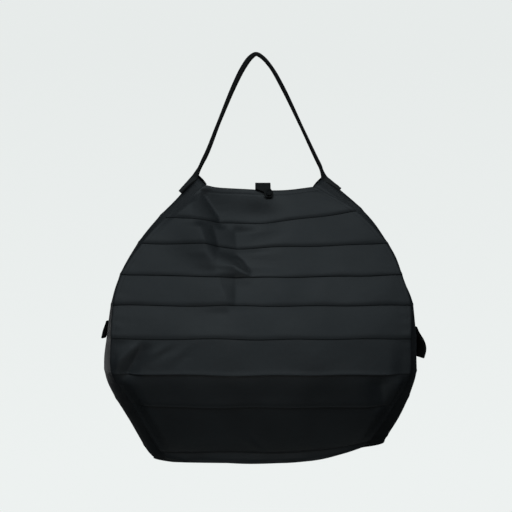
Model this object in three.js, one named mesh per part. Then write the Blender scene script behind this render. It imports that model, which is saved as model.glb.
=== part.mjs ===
// Foldable shopping bag with pleated cloth walls, hanging open by its shoulder strap.
// Millimetres, +Z up, the front faces -Y. The origin is the point under the top of the strap where it hangs.
import * as THREE from "three";

// Cloth and sewing
const clothWall = 1.4;
const seamGap = 0.3; // clear space between two sewn pieces
const sideGap = 0.65; // the same between the walls and the gussets, whose facets run differently
const hemHeight = 11; // the mouth's edge is turned over and sewn down this far
const hemFace = clothWall; // the turned hem stands this far off the wall's surface
const hemSlope = 1.1; // the hem runs out to the plain wall at this share of its height
const pleatLap = 7; // a pleat's folded edge hangs this far over the next pleat
const pleatSlot = 0.8; // air under that folded edge
const pleatMiddle = 0.45; // how far up a pleat its middle point lies, and that point's share of the lip
const bagCentre = 7.5; // the bag's middle lies this far to the right of the hang point

// Strap and webbing
const strapWidth = 22;
const strapThick = 2.8;
const strapCup = 0.022; // the sewn strap ends curl round the gusset by this much per square millimetre
const strapSeat = 2 * seamGap; // clear space under the sewn strap ends
const tabWidth = 20;
const tabThick = 3; // webbing folded double
const bandEdge = 0.3; // a band's edges are softened by this share of its thickness

// Tongue over the mouth
const tongueWidth = 19;
const tongueTip = 11; // it narrows to this at its rounded tip
const tongueThick = 1.4;
const tongueRise = 10.5; // its crown above the mouth's edge
const tongueRoot = 8.5; // its root's place across the bag
const tongueShift = 7; // its tip lies this far to the right of its root

// Press stud
const capRadius = 4;
const capHeight = 1.6;
const socketRadius = 3.2;
const socketHeight = 1.5;
const studSides = 16;
const studAcross = 0.12; // its place on the front wall, as a share of the half width
const studDown = 4.4; // and below the mouth's edge

// One row for each fold line of the walls, from the mouth down to the base's edge; what is left out is 0.
// height: the line's height at the bag's middle. rise: how much higher both of its ends are.
// tilt: how much higher the right end is still, and the left end lower. lift: the pulled-up right end.
// left, right: from the bag's middle to the outside of each gusset. seam: from there in to the side seam.
// edge, middle: half the depth at the seam and at the middle. peak: the gusset's middle above its seams.
const foldLines = [
  { height: -171.2, rise: 3.7, left: 84.5, right: 79, seam: 14, edge: 20, middle: 24, peak: 12.5 },
  { height: -209.3, rise: 9, tilt: 4, left: 126, right: 123, seam: 9, edge: 32, middle: 38, peak: 4 },
  { height: -240.4, rise: 4.5, left: 152, right: 157, seam: 7, edge: 41, middle: 49, peak: 1 },
  { height: -276.9, rise: 3, left: 176, right: 174, seam: 7, edge: 51.5, middle: 62 },
  { height: -311, rise: 0.5, left: 186, right: 185.5, seam: 8, edge: 60.5, middle: 74 },
  { height: -349.9, left: 193.5, right: 190.5, seam: 14, edge: 71.5, middle: 87 },
  { height: -391, left: 194.5, right: 191, seam: 16, edge: 78, middle: 95 },
  { height: -430.8, left: 181.5, right: 184, seam: 24, edge: 62.5, middle: 76 },
  { height: -487.3, lift: 13, left: 147, right: 155, seam: 25, edge: 45.8, middle: 53.2 },
  { height: -501.9, lift: 18, left: 137, right: 151, seam: 29, edge: 43.4, middle: 50.5 },
];
const lastLine = foldLines.length - 1;
const liftStart = 0.15; // the pulled-up end begins at this share of the half width
const baseEnds = 0.985; // the base stops short of the gussets' middle at this share of the half width

// Dents in the front wall, each along a straight line between two points, with a soft width and a depth.
const dents = [
  { fromX: -66, fromZ: -172, toX: -48, toZ: -212, width: 11, depth: 5 },
  { fromX: -56, fromZ: -214, toX: -46, toZ: -250, width: 11, depth: 4 },
  { fromX: -40, fromZ: -246, toX: -10, toZ: -280, width: 11, depth: 4.5 },
  { fromX: -132, fromZ: -356, toX: -162, toZ: -386, width: 11, depth: 4 },
  { fromX: 10, fromZ: -176, toX: 14, toZ: -200, width: 18, depth: 3 },
];
const dentFade = 3; // the dents die out towards the side seams at this rate

// The strap's free run between the gusset tops, seen from the front, with its twist in degrees.
const strapRun = [
  { x: -64.4, z: -128.8, twist: 9 },
  { x: -46.2, z: -83.8, twist: 6 },
  { x: -27.5, z: -38.8, twist: 9 },
  { x: -16.2, z: -16.2, twist: 13 },
  { x: -7, z: -3.2, twist: 10 },
  { x: 0, z: 1.2, twist: 0 },
  { x: 8, z: -3, twist: 5 },
  { x: 19.4, z: -16.2, twist: 7 },
  { x: 34, z: -42, twist: 5 },
  { x: 57.5, z: -91.2, twist: 3 },
  { x: 78.8, z: -136.2, twist: 6 },
];
const sewnEnd = [0.4, 0.3, 0.2, 0.1, 0]; // where the strap lies on a gusset, in fold lines below the mouth

// The side tabs: the height of each root, its length, how far it stands off its gusset at even places
// down that length, and the turn of its free end in degrees.
const sideTabs = [
  { name: "pull_tab_left", side: -1, root: -330, length: 23, off: [0, 0, 0.5, 1.2, 1.8], turn: 4 },
  { name: "pull_tab_right", side: 1, root: -337, length: 39, off: [0, 1.2, 3.2, 5, 4.8], turn: -25 },
];

// The tongue's path from the back hem to its crown: a share of the half depth, a height over the mouth.
const tongueRun = [
  { across: 1, over: -14 },
  { across: 1, over: -3 },
  { across: 0.72, over: tongueRise - 4 },
  { across: 0.1, over: tongueRise },
  { across: -0.6, over: tongueRise - 1 },
];
const tongueDown = [-1.5, 3, 9.5]; // then down the outside of the front hem, below the mouth's edge

const clothLook = { color: 0x2a2d30, roughness: 0.62, metalness: 0 };
const webbingLook = { color: 0x121416, roughness: 0.75, metalness: 0 };
const studLook = { color: 0x17181a, roughness: 0.35, metalness: 0 };

const bag = new THREE.Group();

function addPiece(name, geometry, look) {
  const piece = new THREE.Mesh(geometry, new THREE.MeshStandardMaterial(look));
  piece.name = name;
  bag.add(piece);
}

// Smooth value of one column of a table at a place between its rows, straight on past the first and last.
function between(rows, column, place) {
  const value = (index) => rows[index][column] ?? 0;
  const row = THREE.MathUtils.clamp(Math.floor(place), 0, rows.length - 2);
  const [here, next] = [value(row), value(row + 1)];
  const before = row > 0 ? value(row - 1) : 2 * here - next;
  const after = row + 2 < rows.length ? value(row + 2) : 2 * next - here;
  const share = place - row;
  const leave = (next - before) / 2;
  const arrive = (after - here) / 2;
  const square = 3 * (next - here) - 2 * leave - arrive;
  const cube = 2 * (here - next) + leave + arrive;
  return here + share * (leave + share * (square + share * cube));
}

const line = (column, level) => between(foldLines, column, level);

// The depth runs straight from line to line, because each pleat is a flat strip of cloth.
function depthAt(column, level) {
  const row = THREE.MathUtils.clamp(Math.floor(level), 0, lastLine - 1);
  return THREE.MathUtils.lerp(foldLines[row][column], foldLines[row + 1][column], level - row);
}

const outerReach = (side, level) => line(side < 0 ? "left" : "right", level);
const seamReach = (side, level) => outerReach(side, level) - line("seam", level);
const tierHeight = (index) => foldLines[index].height - foldLines[index + 1].height;

function lineHeight(across, level) {
  const pulled = Math.max(0, (across - liftStart) / (1 - liftStart));
  return (
    line("height", level) +
    line("rise", level) * across * across +
    line("tilt", level) * across +
    line("lift", level) * pulled * pulled
  );
}

// The level whose line has a given height at the bag's middle.
function levelAt(height) {
  const below = foldLines.findIndex((row) => row.height < height);
  return below - 1 + (foldLines[below - 1].height - height) / tierHeight(below - 1);
}

function dentDepth(x, z) {
  const spot = new THREE.Vector3(x, 0, z);
  const nearest = new THREE.Vector3();
  let depth = 0;
  for (const dent of dents) {
    const crease = new THREE.Line3(
      new THREE.Vector3(dent.fromX, 0, dent.fromZ),
      new THREE.Vector3(dent.toX, 0, dent.toZ),
    );
    crease.closestPointToPoint(spot, true, nearest);
    const away = spot.distanceTo(nearest) / dent.width;
    depth += dent.depth * Math.exp(-away * away);
  }
  return depth;
}

// A point of the front or back wall's outer cloth: across runs from -1 to 1, level from mouth to base.
function wallPoint(facing, across, level) {
  const x = bagCentre + across * seamReach(across, level);
  const z = lineHeight(across, level);
  const crown = 1 - across * across;
  const edge = depthAt("edge", level);
  const depth = edge + (depthAt("middle", level) - edge) * crown;
  const dent = facing < 0 ? dentDepth(x, z) * Math.min(1, dentFade * crown) : 0;
  return new THREE.Vector3(x, facing * (depth - dent), z);
}

// A point of a gusset's outer cloth: around runs from -1 at the front seam to 1 at the back seam.
// A leaning wall's cloth takes up more of the depth than its thickness.
function gussetPoint(side, around, level) {
  const out = outerReach(side, level) - line("seam", level) * around * around;
  const leaning = clothWall / wallNormal(1, side, level).y;
  const reach = depthAt("edge", level) - leaning - sideGap;
  const peak = line("peak", level) * (1 - around * around);
  return new THREE.Vector3(bagCentre + side * out, reach * around, lineHeight(side, level) + peak);
}

// The outward normals of the walls and gussets, and points that stand off them by a distance.
function normalOf(surface, first, second) {
  const step = 0.02;
  const alongFirst = surface(first + step, second).sub(surface(first - step, second));
  const alongSecond = surface(first, second + step).sub(surface(first, second - step));
  return alongFirst.cross(alongSecond).normalize();
}

function wallNormal(facing, across, level) {
  return normalOf((first, second) => wallPoint(facing, first, second), across, level).multiplyScalar(facing);
}

function offWall(facing, across, level, away) {
  return wallPoint(facing, across, level).addScaledVector(wallNormal(facing, across, level), away);
}

function offGusset(side, around, level, away) {
  const normal = normalOf((first, second) => gussetPoint(side, first, second), around, level);
  return gussetPoint(side, around, level).addScaledVector(normal, -side * away);
}

// A closed solid through a row of like sections, each a ring of points, with a lid on the first and the last.
// flat turns a point of a lid into the two measures that its outline is filled by.
function loft(rings, flat) {
  const count = rings[0].length;
  const faces = [];
  for (let start = 0; start < count * (rings.length - 1); start += count) {
    for (let point = 0; point < count; point += 1) {
      const here = start + point;
      const next = start + ((point + 1) % count);
      faces.push(here, next, next + count, here, next + count, here + count);
    }
  }
  const addLid = (ringIndex, turn) => {
    const outline = rings[ringIndex].map(flat);
    const around = Math.sign(THREE.ShapeUtils.area(outline)) * turn;
    for (const [a, b, c] of THREE.ShapeUtils.triangulateShape(outline, [])) {
      const facing = Math.sign(THREE.ShapeUtils.area([outline[a], outline[b], outline[c]]));
      const corners = facing === around ? [a, b, c] : [a, c, b];
      faces.push(...corners.map((corner) => ringIndex * count + corner));
    }
  };
  addLid(0, -1);
  addLid(rings.length - 1, 1);
  const geometry = new THREE.BufferGeometry().setFromPoints(rings.flat());
  geometry.setIndex(faces);
  geometry.computeVertexNormals();
  return geometry;
}

// Rings of a cloth piece: its section, given as level and thickness, at even places from edge to edge.
function clothRings(section, spans, place) {
  const rings = [];
  for (let span = 0; span <= spans; span += 1) {
    const share = 1 - (2 * span) / spans;
    rings.push(section.map(([level, thick]) => place(share, level, thick)));
  }
  return rings;
}

// The pleated wall's section from the mouth to the base: the level down it, and the height off its surface.
function pleatedSection() {
  const lip = clothWall + pleatSlot;
  const hemEnd = hemHeight / tierHeight(0);
  const section = [[0, hemFace], [hemEnd, hemFace], [hemEnd * hemSlope, 0]];
  for (let index = 1; index < lastLine; index += 1) {
    const underLap = index - pleatLap / tierHeight(index - 1);
    section.push([index - pleatMiddle, lip * pleatMiddle], [index, lip]);
    section.push([index, pleatSlot], [underLap, pleatSlot], [underLap, 0], [index, 0]);
  }
  section.push([lastLine, 0]);
  for (let half = 2 * lastLine; half >= 0; half -= 1) {
    section.push([half / 2, -clothWall]);
  }
  return section;
}

function addWall(name, facing, spans) {
  const place = (share, level, thick) => offWall(facing, facing * share, level, thick);
  const rings = clothRings(pleatedSection(), spans, place);
  addPiece(name, loft(rings, (point) => new THREE.Vector2(point.y, point.z)), clothLook);
}

function addGusset(name, side, spans) {
  const stops = [...sewnEnd].reverse().concat([0.55, 0.75]);
  for (let half = 2; half <= 2 * lastLine; half += 1) {
    stops.push(half / 2);
  }
  const outside = stops.map((level) => [level, 0]);
  const inside = stops.map((level) => [level, -clothWall]);
  const place = (share, level, thick) => offGusset(side, -side * share, level, thick);
  const rings = clothRings([...outside, ...inside.reverse()], spans, place);
  addPiece(name, loft(rings, (point) => new THREE.Vector2(point.x, point.z)), clothLook);
}

// Bends a straight extruded piece into place: each of its points is given a new place.
function bentBand(outline, length, steps, place) {
  const shape = new THREE.Shape(outline.map(([x, y]) => new THREE.Vector2(x, y)));
  const geometry = new THREE.ExtrudeGeometry(shape, { depth: length, steps, bevelEnabled: false });
  const points = geometry.attributes.position;
  for (let index = 0; index < points.count; index += 1) {
    const bent = place(points.getX(index), points.getY(index), points.getZ(index));
    points.setXYZ(index, bent.x, bent.y, bent.z);
  }
  geometry.computeVertexNormals();
  return geometry;
}

// The base: a thin plate, whose half depth follows the walls and then the gussets round to their middle.
function addBase(spans) {
  const outline = [[-1, 0], [0, 0], [1, 0], [1, clothWall], [0, clothWall], [-1, clothWall]];
  const place = (width, thick, length) => {
    const along = (length - 1) * baseEnds;
    const out = Math.abs(along) * outerReach(along, lastLine);
    const seam = seamReach(along, lastLine);
    const across = Math.min(1, out / seam);
    const past = Math.max(0, out - seam) / line("seam", lastLine);
    const { edge, middle } = foldLines[lastLine];
    const crown = (middle - edge) * (1 - across * across);
    const reach = (edge + crown) * Math.sqrt(1 - past);
    const under = lineHeight(Math.sign(along) * across, lastLine) - clothWall - seamGap;
    return new THREE.Vector3(bagCentre + Math.sign(along) * out, reach * width, under + thick);
  };
  addPiece("base_panel", bentBand(outline, 2, spans, place), clothLook);
}

// The outline of a flat band's section, with softened edges.
function bandSection(width, thick) {
  const soft = thick * bandEdge;
  const [w, t] = [width / 2, thick / 2];
  const corner = [[w - soft, -t], [w, -t + soft], [w, t - soft], [w - soft, t]];
  const opposite = corner.map(([x, y]) => [-x, -y]);
  return [[0, -t], ...corner, [0, t], ...opposite];
}

// A place on a band that runs along a curve in the front view, turned about the curve by an angle in degrees.
function alongBand(curve, share, width, thick, degrees) {
  const tangent = curve.getTangent(share);
  const turn = THREE.MathUtils.degToRad(degrees);
  const point = curve.getPoint(share);
  const out = new THREE.Vector3(-tangent.z, 0, tangent.x);
  point.addScaledVector(out, thick * Math.cos(turn) + width * Math.sin(turn));
  point.y += width * Math.cos(turn) - thick * Math.sin(turn);
  return point;
}

function addStrap(steps) {
  const sewn = (side) => sewnEnd.map((level) => offGusset(side, 0, level, strapSeat + strapThick / 2));
  const free = strapRun.map((row) => new THREE.Vector3(row.x, 0, row.z));
  const points = [...sewn(-1), ...free, ...sewn(1).reverse()];
  const curve = new THREE.CatmullRomCurve3(points, false, "centripetal");
  const untwisted = sewnEnd.map(() => ({ twist: 0 }));
  const twists = [...untwisted, ...strapRun, ...untwisted];
  const lastRow = twists.length - 1;
  const place = (width, thick, length) => {
    const row = length * lastRow;
    const sewnShare = Math.max(0, 1 - Math.min(row, lastRow - row) / sewnEnd.length);
    const curled = thick - strapCup * sewnShare * width * width;
    return alongBand(curve, length, width, curled, between(twists, "twist", row));
  };
  addPiece("handle_strap", bentBand(bandSection(strapWidth, strapThick), 1, steps, place), webbingLook);
}

function addSideTab(tab, steps) {
  const route = tab.off.map((off, index) => {
    const level = levelAt(tab.root - (tab.length * index) / (tab.off.length - 1));
    return offGusset(tab.side, 0, level, seamGap + tabThick / 2 + off);
  });
  const curve = new THREE.CatmullRomCurve3(route);
  const place = (width, thick, length) => alongBand(curve, length, width, thick, tab.turn * length);
  addPiece(tab.name, bentBand(bandSection(tabWidth, tabThick), 1, steps, place), webbingLook);
}

const tongueOff = hemFace + seamGap + socketHeight + seamGap + tongueThick / 2;

function addTongue(steps) {
  const smooth = THREE.MathUtils.smoothstep;
  const back = foldLines[0].middle - clothWall - seamGap - tongueThick / 2;
  const mouth = foldLines[0].height;
  const route = tongueRun.map((row) => new THREE.Vector3(0, back * row.across, mouth + row.over));
  for (const down of tongueDown) {
    route.push(offWall(-1, studAcross, down / tierHeight(0), tongueOff));
  }
  const curve = new THREE.CatmullRomCurve3(route);
  const place = (width, thick, length) => {
    const tangent = curve.getTangent(length);
    const point = curve.getPoint(length);
    const tapered = smooth(length, 0.7, 0.88);
    const narrowed = THREE.MathUtils.lerp(1, tongueTip / tongueWidth, tapered);
    const rounded = Math.sqrt(1 - smooth(length, 0.9, 1.04) ** 2);
    point.x = tongueRoot + tongueShift * tapered + width * narrowed * rounded;
    return point.addScaledVector(new THREE.Vector3(0, tangent.z, -tangent.y), thick);
  };
  addPiece("closure_tab", bentBand(bandSection(tongueWidth, tongueThick), 1, steps, place), webbingLook);
}

// Press stud: each half is a turned disc that lies flat on the hem or on the tongue.
function addStud(name, radius, height, bevel, away) {
  const rim = [[radius, 0], [radius, height * (1 - bevel)], [radius * (1 - bevel / 2), height]];
  const profile = [[0, 0], ...rim, [0, height]].map(([r, h]) => new THREE.Vector2(r, h));
  const turned = new THREE.LatheGeometry(profile, studSides);
  const level = studDown / tierHeight(0);
  const axis = wallNormal(-1, studAcross, level);
  turned.applyQuaternion(new THREE.Quaternion().setFromUnitVectors(new THREE.Vector3(0, 1, 0), axis));
  const seat = offWall(-1, studAcross, level, away);
  turned.translate(seat.x, seat.y, seat.z);
  addPiece(name, turned, studLook);
}

addWall("front_panel", -1, 20);
addWall("back_panel", 1, 14);
addGusset("gusset_left", -1, 10);
addGusset("gusset_right", 1, 10);
addBase(18);
addStrap(56);
for (const tab of sideTabs) {
  addSideTab(tab, 10);
}
addTongue(24);
addStud("snap_socket", socketRadius, socketHeight, 0.2, hemFace + seamGap);
addStud("snap_cap", capRadius, capHeight, 0.4, tongueOff + tongueThick / 2 + 2 * seamGap);

export default bag;
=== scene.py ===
# A foldable shopping bag of pleated cloth, hanging open by its shoulder strap.
# Metres, +Z up, the front faces -Y; tables that say so are in millimetres.
import math

import bpy
import numpy as np
from mathutils import Matrix, Vector


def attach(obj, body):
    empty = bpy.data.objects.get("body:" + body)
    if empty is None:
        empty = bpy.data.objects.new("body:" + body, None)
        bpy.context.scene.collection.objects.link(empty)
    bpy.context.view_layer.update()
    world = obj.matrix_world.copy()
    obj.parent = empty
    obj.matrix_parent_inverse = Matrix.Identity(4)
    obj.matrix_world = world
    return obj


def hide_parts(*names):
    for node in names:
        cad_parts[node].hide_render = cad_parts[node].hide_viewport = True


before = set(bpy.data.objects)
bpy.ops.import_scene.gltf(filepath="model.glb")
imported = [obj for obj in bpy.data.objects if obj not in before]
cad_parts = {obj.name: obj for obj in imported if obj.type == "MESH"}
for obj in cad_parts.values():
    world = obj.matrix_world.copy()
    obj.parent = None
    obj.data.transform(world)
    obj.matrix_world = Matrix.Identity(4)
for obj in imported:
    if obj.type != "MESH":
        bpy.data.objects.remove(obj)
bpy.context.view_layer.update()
mm = 0.001

# Camera: level, straight at the front
photoCamera = {"distance": 1.6, "height": -0.25125, "lens": 90, "sensor": 36}
bpy.ops.object.camera_add(
    location=(0, -photoCamera["distance"], photoCamera["height"]), rotation=(math.pi / 2, 0, 0)
)
camera = bpy.context.object
camera.data.lens = photoCamera["lens"]
camera.data.sensor_width = photoCamera["sensor"]
bpy.context.scene.camera = camera
print("camera placed")


# The bag's form: fold lines of the walls from the mouth down to the base, an entry for each, in millimetres
foldLines = {
    "height": (-171.2, -209.3, -240.4, -276.9, -311, -349.9, -391, -426.8, -487.3, -500.8),
    "rise": (5.6, 9, 4.5, 3, 0.5, 0, 0, 0, 0, 0),  # both ends above the middle
    "tilt": (-0.9, 4, 0, 0, 0, 0, 0, 0, 0, 0),  # right end up, left end down
    "lift": (0, 0, 0, 0, 0, 0, 0, 0, 13, 18),  # the pulled-up right end
    "left": (84.5, 126, 152, 176, 186, 193.5, 194.5, 181.5, 147, 137),  # out to the left gusset
    "right": (79, 123, 157, 174, 185.5, 190.5, 191, 184, 155, 151),
    "seam": (14, 9, 7, 7, 8, 14, 16, 24, 25, 29),  # from the gusset's middle in to the side seam
    "edge": (20, 32, 41, 51.5, 60.5, 71.5, 78, 62.5, 45.8, 43.4),  # half depth at the side seam
    "middle": (24, 38, 49, 62, 74, 87, 95, 76, 53.2, 50.5),  # half depth at the middle
    "peak": (12.5, 4, 1, 0, 0, 0, 0, 0, 0, 0),  # the gusset's middle above its seams
}
bagForm = {
    "centre": 7.5 * mm,  # the bag's middle, to the right of the hang point
    "liftStart": 0.15,  # the pulled-up end begins at this share of the half width
    "cloth": 0.4 * mm,
    "cadWall": 1.4 * mm,
    "seamGap": 0.3 * mm,
}
lastLine = len(foldLines["height"]) - 1
tierHeights = -np.diff(np.array(foldLines["height"])) * mm


def smoothstep(value, low, high):
    share = np.clip((value - low) / (high - low), 0, 1)
    return share * share * (3 - 2 * share)


def curveBetween(start, end, leave, arrive, share):  # cubic with the slopes at both ends given
    square = 3 * (end - start) - 2 * leave - arrive
    cube = 2 * (start - end) + leave + arrive
    return start + share * (leave + share * (square + share * cube))


def matched(first, second):  # as arrays of one shape
    return np.broadcast_arrays(np.asarray(first, float), np.asarray(second, float))


def tierOf(level):  # the band of cloth between two fold lines, counted from 0 at the mouth
    return np.clip(np.floor(level), 0, lastLine - 1).astype(int)


def smoothAt(column, level):  # a curve through the fold lines, straight on past the first and last
    rows = np.array(foldLines[column], float) * mm
    padded = np.concatenate(([2 * rows[0] - rows[1]], rows, [2 * rows[-1] - rows[-2]]))
    row = tierOf(level)
    before, here, after, beyond = (padded[row + step] for step in range(4))
    return curveBetween(here, after, (after - before) / 2, (beyond - here) / 2, level - row)


def straightAt(column, level):  # straight from line to line
    rows = np.array(foldLines[column], float) * mm
    row = tierOf(level)
    return rows[row] + (rows[row + 1] - rows[row]) * (level - row)


def outerReach(side, level):
    return np.where(side < 0, smoothAt("left", level), smoothAt("right", level))


def seamReach(side, level):
    return outerReach(side, level) - smoothAt("seam", level)


def fromSeam(across, level):  # distance in from the side seam
    return (1 - np.abs(across)) * seamReach(across, level)


def lineHeight(across, level):
    pulled = np.maximum(0, (across - bagForm["liftStart"]) / (1 - bagForm["liftStart"]))
    ends = smoothAt("rise", level) * across**2 + smoothAt("tilt", level) * across
    return smoothAt("height", level) + ends + smoothAt("lift", level) * pulled**2


def wallDepth(across, level):
    edge = straightAt("edge", level)
    return edge + (straightAt("middle", level) - edge) * (1 - across**2)


def wallPoint(facing, across, level):
    across, level = matched(across, level)
    x = bagForm["centre"] + across * seamReach(across, level)
    return np.stack([x, facing * wallDepth(across, level), lineHeight(across, level)], axis=-1)


def gussetReach(level):  # half the gusset's width, between the walls
    return straightAt("edge", level) - bagForm["cadWall"] - bagForm["seamGap"]


def gussetPoint(side, around, level):
    around, level = matched(around, level)
    out = outerReach(side, level) - smoothAt("seam", level) * around**2
    z = lineHeight(float(side), level) + smoothAt("peak", level) * (1 - around**2)
    return np.stack([bagForm["centre"] + side * out, gussetReach(level) * around, z], axis=-1)


def unit(vectors):
    return vectors / np.linalg.norm(vectors, axis=-1, keepdims=True)


def normalOf(surface, first, second, turn):
    step = 0.02
    alongFirst = surface(first + step, second) - surface(first - step, second)
    alongSecond = surface(first, second + step) - surface(first, second - step)
    return turn * unit(np.cross(alongFirst, alongSecond))


def wallNormal(facing, across, level):
    return normalOf(lambda a, b: wallPoint(facing, a, b), across, level, facing)


def gussetNormal(side, around, level):
    return normalOf(lambda a, b: gussetPoint(side, a, b), around, level, -side)


def levelAt(height):
    heights = np.array(foldLines["height"]) * mm
    return float(np.interp(-height, -heights, np.arange(lastLine + 1)))


# Folds in the cloth: first and last tier, how far a fold fades out to both sides, and a line of points, each
# with its place across, its height, the flank's width and the fold's height, in millimetres.
# Going down the line, its valley lies on the line and its crest on the left, so its flank faces right.
# A fold keeps to its tiers and dies out in the top of the tier below them.
def foldAlong(tiers, tail, *points):
    return {"tiers": tiers, "tail": tail * mm, "points": np.array(points, float) * mm}


frontFolds = [
    foldAlong(
        (0, 0), 40, (-70, -168, 5, 2), (-63, -177, 7, 5), (-56, -187, 10, 7.4), (-50, -196, 12, 8.4),
        (-45, -204, 13, 8), (-43, -222, 13, 7),
    ),
    foldAlong(
        (0, 0), 40, (-75, -168, 8, 1), (-66, -187, 14, 5), (-62, -196, 17, 6.4), (-58, -204, 20, 7),
        (-56, -222, 20, 6.4),
    ),
    foldAlong(
        (1, 1), 40, (-56, -203, 15, 10), (-53, -213, 15.5, 10.6), (-51, -222, 16, 10.6), (-45, -242, 15, 9.4),
        (-43, -256, 12, 7),
    ),
    foldAlong(
        (1, 1), 40, (-26, -203, 26, 7), (-25.5, -214, 26, 9), (-25, -224, 25, 8.6), (-22, -242, 22, 7),
        (-20, -256, 22, 6),
    ),
    foldAlong(
        (2, 2), 34, (-47, -232, 16, 7.4), (-49, -241, 14.5, 6.6), (-48, -249, 12, 5), (-47, -256, 8.5, 3),
        (-45, -272, 6, 0),
    ),
    foldAlong(
        (2, 2), 34, (-44, -232, 8, 2), (-42, -249, 9, 2.6), (-36, -256, 12, 2.8), (-28, -263, 16, 3.2),
        (-24.5, -277, 20, 5),
    ),
    foldAlong(
        (2, 2), 36, (-36, -234, 12, 5), (-31, -240.5, 15, 6.4), (-22, -249, 20, 8.4), (-14.5, -256, 20, 8.8),
        (-9.7, -263.5, 18, 8), (-6, -270.5, 11, 4.6), (-3.5, -277, 7, 1.6), (-2, -290, 7, 0.6),
    ),
    foldAlong(
        (3, 3), 34, (-24.5, -266, 20, 5), (-24.5, -281, 21, 5.6), (-24, -290, 17, 6), (-24, -300, 13, 5),
        (-24, -326, 10, 0.6),
    ),
    foldAlong(
        (5, 5), 14, (-133, -353, 5, 1.6), (-144, -373, 14, 7.4), (-153, -389, 20, 10), (-158, -404, 20, 6)
    ),
    foldAlong((5, 5), 9, (-96, -354, 7, 0), (-108, -366, 10, 1.8), (-122, -380, 10, 0)),
    foldAlong((5, 5), 10, (-74, -356, 8, 0), (-84, -371, 11, 1.4), (-94, -386, 11, 0)),
    foldAlong((6, 6), 14, (150, -440, 9, 2), (150, -420, 13, 4.6), (150, -402, 20, 7), (150, -388, 26, 7)),
    foldAlong((7, 7), 7, (-15, -457, 8, 0), (-1, -471, 9, 2), (12, -486, 8, 0)),
]
backFolds = [
    foldAlong(
        (0, 2), 22, (70, -160, 3, 1), (50, -210, 15, 6), (44, -238, 14, 5.5), (38, -256, 8, 2),
        (34, -268, 6, 0),
    ),
    foldAlong((0, 1), 20, (-52, -164, 6, 1), (-38, -196, 13, 3.6), (-33, -222, 10, 0)),
    foldAlong((5, 5), 16, (132, -352, 4, 0), (144, -372, 12, 5), (151, -386, 13, 4.4), (154, -396, 13, 2.6)),
    foldAlong((4, 4), 12, (-90, -314, 10, 0), (-104, -334, 12, 2.2), (-116, -352, 11, 0)),
    foldAlong((7, 7), 9, (20, -440, 9, 0), (4, -458, 10, 2), (-10, -478, 9, 0)),
]
foldShape = {
    "sink": 0.5,  # share of a fold's height that its valley lies below the plain wall
    "steep": 1.25,  # slope of the flank beside the valley, where an even flank has 1
}
tongueDish = {"x": 7 * mm, "z": -203 * mm, "wide": 26 * mm, "high": 17 * mm, "depth": 4.6 * mm}
waves = {
    "seed": 11,
    "count": 6,
    "lengths": (40, 140),  # millimetres
    "slant": 0.5,
    "height": 0.15 * mm,
    "bulge": (0.15, 0.15, 0.15, 0.15, 0.2, 0.2, 0.9, 2.2, 0),  # outward, for each tier, in millimetres
    "fullest": 0.7,  # below 1, a tier bulges most above its middle
}
wander = {"seed": 18, "count": 4, "lengths": (60, 170), "height": 0.28 * mm, "drift": 1.7}
puckers = {
    "pitch": 12 * mm,
    "reach": 9 * mm,
    "height": 0.22 * mm,
    "sway": 23 * mm,  # lengths over which their pitch and their height change
    "swell": 31 * mm,
}
seamFade = {  # distances in from the side seam between which each of these sets in
    "waves": (0, 20 * mm),
    "folds": (-2 * mm, 12 * mm),
    "puckers": (0, 4 * mm),
}
fullness = {"level": 7, "out": 7 * mm}  # the cloth hangs fuller around the fold below the belly
footFlare = 1.5 * mm  # the lowest band stands out over the base seam


def foldField(folds, x, z, tier):
    total = np.zeros_like(x)
    for fold in folds:
        points = fold["points"]
        turn = np.sign(points[0, 1] - points[-1, 1])  # a line that goes up has its crest on the right
        points = points[np.argsort(-points[:, 1])]
        line, flank, height = (np.interp(-z, -points[:, 1], points[:, k]) for k in (0, 2, 3))
        aside = turn * (x - line)
        up = np.clip(-aside / flank, 0, 1)
        rising = up * (foldShape["steep"] - (foldShape["steep"] - 1) * up)
        past = np.maximum(np.maximum(aside, -aside - flank), 0)
        spread = np.exp(-((past / fold["tail"]) ** 2))
        away = np.maximum(tier - fold["tiers"][1], fold["tiers"][0] - tier)
        total += height * (rising - foldShape["sink"]) * spread * np.clip(1 - away, 0, 1)
    return total


def waveField(facing, x, level):  # soft waves of each tier, the same on every run
    draws = np.random.default_rng(waves["seed"] + facing)
    tier = tierOf(level)
    share = np.clip(level - tier, 0, 1)
    window = np.sin(np.pi * share)
    total = np.array(waves["bulge"])[tier] * mm * np.sin(np.pi * share ** waves["fullest"])
    for _ in range(waves["count"]):
        length = draws.uniform(*waves["lengths"], lastLine) * mm
        phase = draws.uniform(0, 2 * np.pi, lastLine)
        slant = draws.uniform(-waves["slant"], waves["slant"], lastLine)
        turn = 2 * np.pi * x / length[tier] + phase[tier] + slant[tier] * (level - tier)
        total = total + waves["height"] * np.sin(turn) * window
    return total


def lineWander(facing, x, level):  # the fold lines aren't quite straight
    draws = np.random.default_rng(wander["seed"] + facing)
    total = np.zeros_like(x)
    for _ in range(wander["count"]):
        length = draws.uniform(*wander["lengths"]) * mm
        turn = 2 * np.pi * x / length + draws.uniform(0, 6) + wander["drift"] * level
        total += wander["height"] * np.sin(turn)
    return total


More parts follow.
